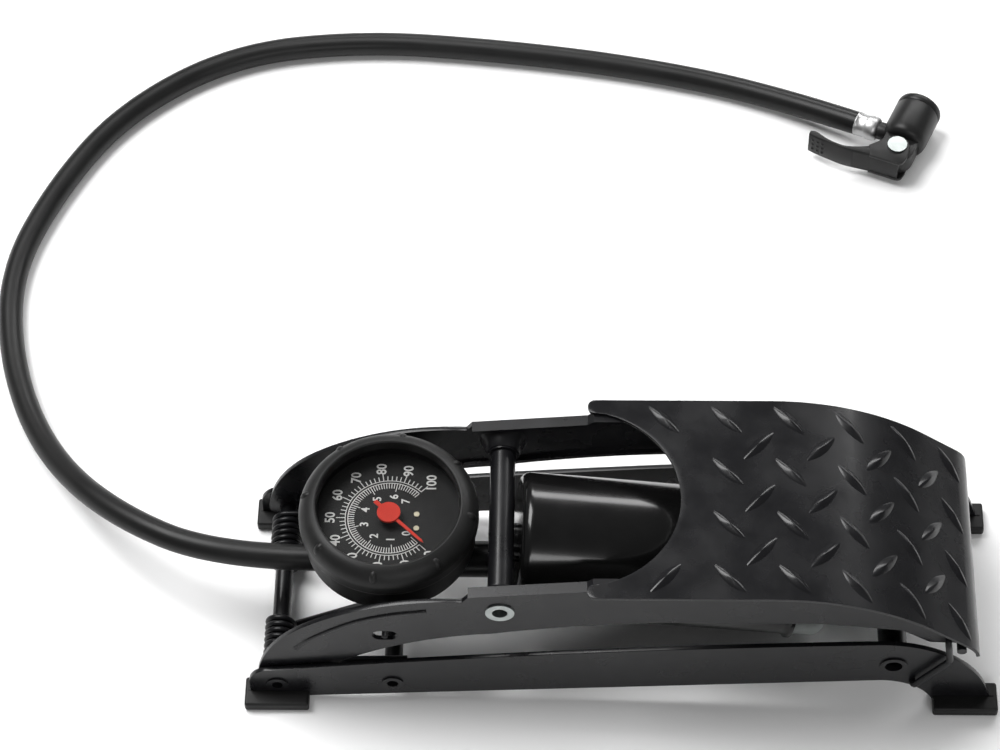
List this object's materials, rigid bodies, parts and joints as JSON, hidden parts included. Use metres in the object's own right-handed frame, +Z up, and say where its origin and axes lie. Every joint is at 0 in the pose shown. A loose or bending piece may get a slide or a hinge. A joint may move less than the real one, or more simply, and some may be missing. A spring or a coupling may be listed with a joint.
{
  "type": "foot pump",
  "caption": "Single-barrel foot pump for tyres, with hinged treadle, round pressure gauge, flexible hose and lever-lock tyre chuck.",
  "frame": {"origin": "under the middle of the pump, on the floor, hose and chuck left out", "axes": "+X along the base rails from the treadle's hinge to its free end, +Y across to the far rail, +Z up"},
  "size_m": [0.4394, 0.3679, 0.0855],
  "materials": {
    "satin_black_paint": "satin",
    "zinc": "satin",
    "spring_steel": "satin",
    "black_wire": "satin",
    "black_rubber": "matte",
    "gloss_black_paint": "gloss",
    "black_plastic": "satin",
    "dial_black": "matte",
    "pointer_orange": "satin",
    "clear": "gloss",
    "brass": "satin",
    "aluminium": "satin"
  },
  "bodies": {
    "base": {"base_rail_near": "satin_black_paint", "base_rail_far": "satin_black_paint", "foot_cap_near_left": "black_rubber", "foot_cap_far_left": "black_rubber", "foot_cap_near_right": "black_rubber", "foot_cap_far_right": "black_rubber", "hinge_axle_tube": "satin_black_paint", "front_spacer_tube": "satin_black_paint", "rear_rivet_near": "satin_black_paint", "rear_rivet_far": "satin_black_paint", "hinge_washer_near": "satin_black_paint", "hinge_washer_far": "satin_black_paint", "torsion_spring_near": "black_wire", "torsion_spring_far": "black_wire"},
    "storage_latch": {"storage_latch_wire": "black_wire"},
    "treadle": {"treadle_arm_near": "satin_black_paint", "treadle_arm_far": "satin_black_paint", "tread_plate": "satin_black_paint", "pivot_axle": "zinc", "pivot_washer_near": "zinc", "pivot_washer_far": "zinc", "latch_peg": "satin_black_paint"},
    "cylinder": {"cylinder_barrel": "gloss_black_paint", "cylinder_head": "satin_black_paint", "pivot_sleeve": "satin_black_paint", "cylinder_end_cap": "zinc", "rod_bushing": "black_plastic", "outlet_pipe": "satin_black_paint", "check_valve_spring": "spring_steel", "gauge_tee": "satin_black_paint", "gauge_case": "satin_black_paint", "gauge_boot": "black_rubber", "gauge_lens": "clear", "gauge_dial": "dial_black", "dial_screws": "brass", "gauge_socket": "brass", "gauge_movement": "brass", "bourdon_tube": "brass", "air_hose": "black_rubber", "chuck_ferrule": "aluminium", "chuck_body": "black_plastic", "chuck_seal": "black_rubber", "chuck_cap": "black_plastic", "chuck_rivet": "zinc"},
    "check_valve": {"check_valve_ball": "zinc"},
    "pointer": {"gauge_pointer": "pointer_orange"},
    "rod": {"piston": "aluminium", "piston_cup_seal": "black_rubber", "piston_nut": "zinc", "piston_rod": "zinc", "rod_cross_sleeve": "satin_black_paint"},
    "chuck_lever": {"chuck_lever": "black_plastic"}
  },
  "joints": [
    {"name": "treadle_hinge", "type": "hinge", "parent": "base", "child": "treadle", "pos_m": [-0.1432, 0.00105, 0.0111], "axis": [0, -1, 0], "range_deg": [0, 36], "deforming": ["torsion_spring_near", "torsion_spring_far"]},
    {"name": "cylinder_pivot", "type": "hinge", "parent": "treadle", "child": "cylinder", "pos_m": [-0.0494, 0.00105, 0.0658], "axis": [0, -1, 0], "range_deg": [-47.5, 0]},
    {"name": "piston_slide", "type": "slide", "parent": "cylinder", "child": "rod", "axis": [0.9914, 0, -0.1305], "range_m": [0, 0.0595]},
    {"name": "storage_latch_hinge", "type": "hinge", "parent": "base", "child": "storage_latch", "pos_m": [0.1206, -0.04395, 0.0181], "axis": [0, -1, 0], "range_deg": [0, 48]},
    {"name": "gauge_pointer_turn", "type": "hinge", "parent": "cylinder", "child": "pointer", "pos_m": [-0.0956, 0.00105, 0.0724], "axis": [0, 0, 1], "range_deg": [-270, 0], "stiffness_Nm_per_rad": 0.0005},
    {"name": "chuck_lever_hinge", "type": "hinge", "parent": "cylinder", "child": "chuck_lever", "pos_m": [0.129, 0.24025, 0.0106], "axis": [0, 0, 1], "range_deg": [0, 80]},
    {"name": "check_valve_lift", "type": "slide", "parent": "cylinder", "child": "check_valve", "axis": [-1, 0, 0], "range_m": [0, 0.0015], "stiffness_N_per_m": 200, "deforming": ["check_valve_spring"]}
  ],
  "couplings": [
    {"joint": "cylinder_pivot", "follows": "treadle_hinge", "ratio": -1.3042},
    {"joint": "piston_slide", "follows": "treadle_hinge", "m_per_rad": 0.093619}
  ]
}
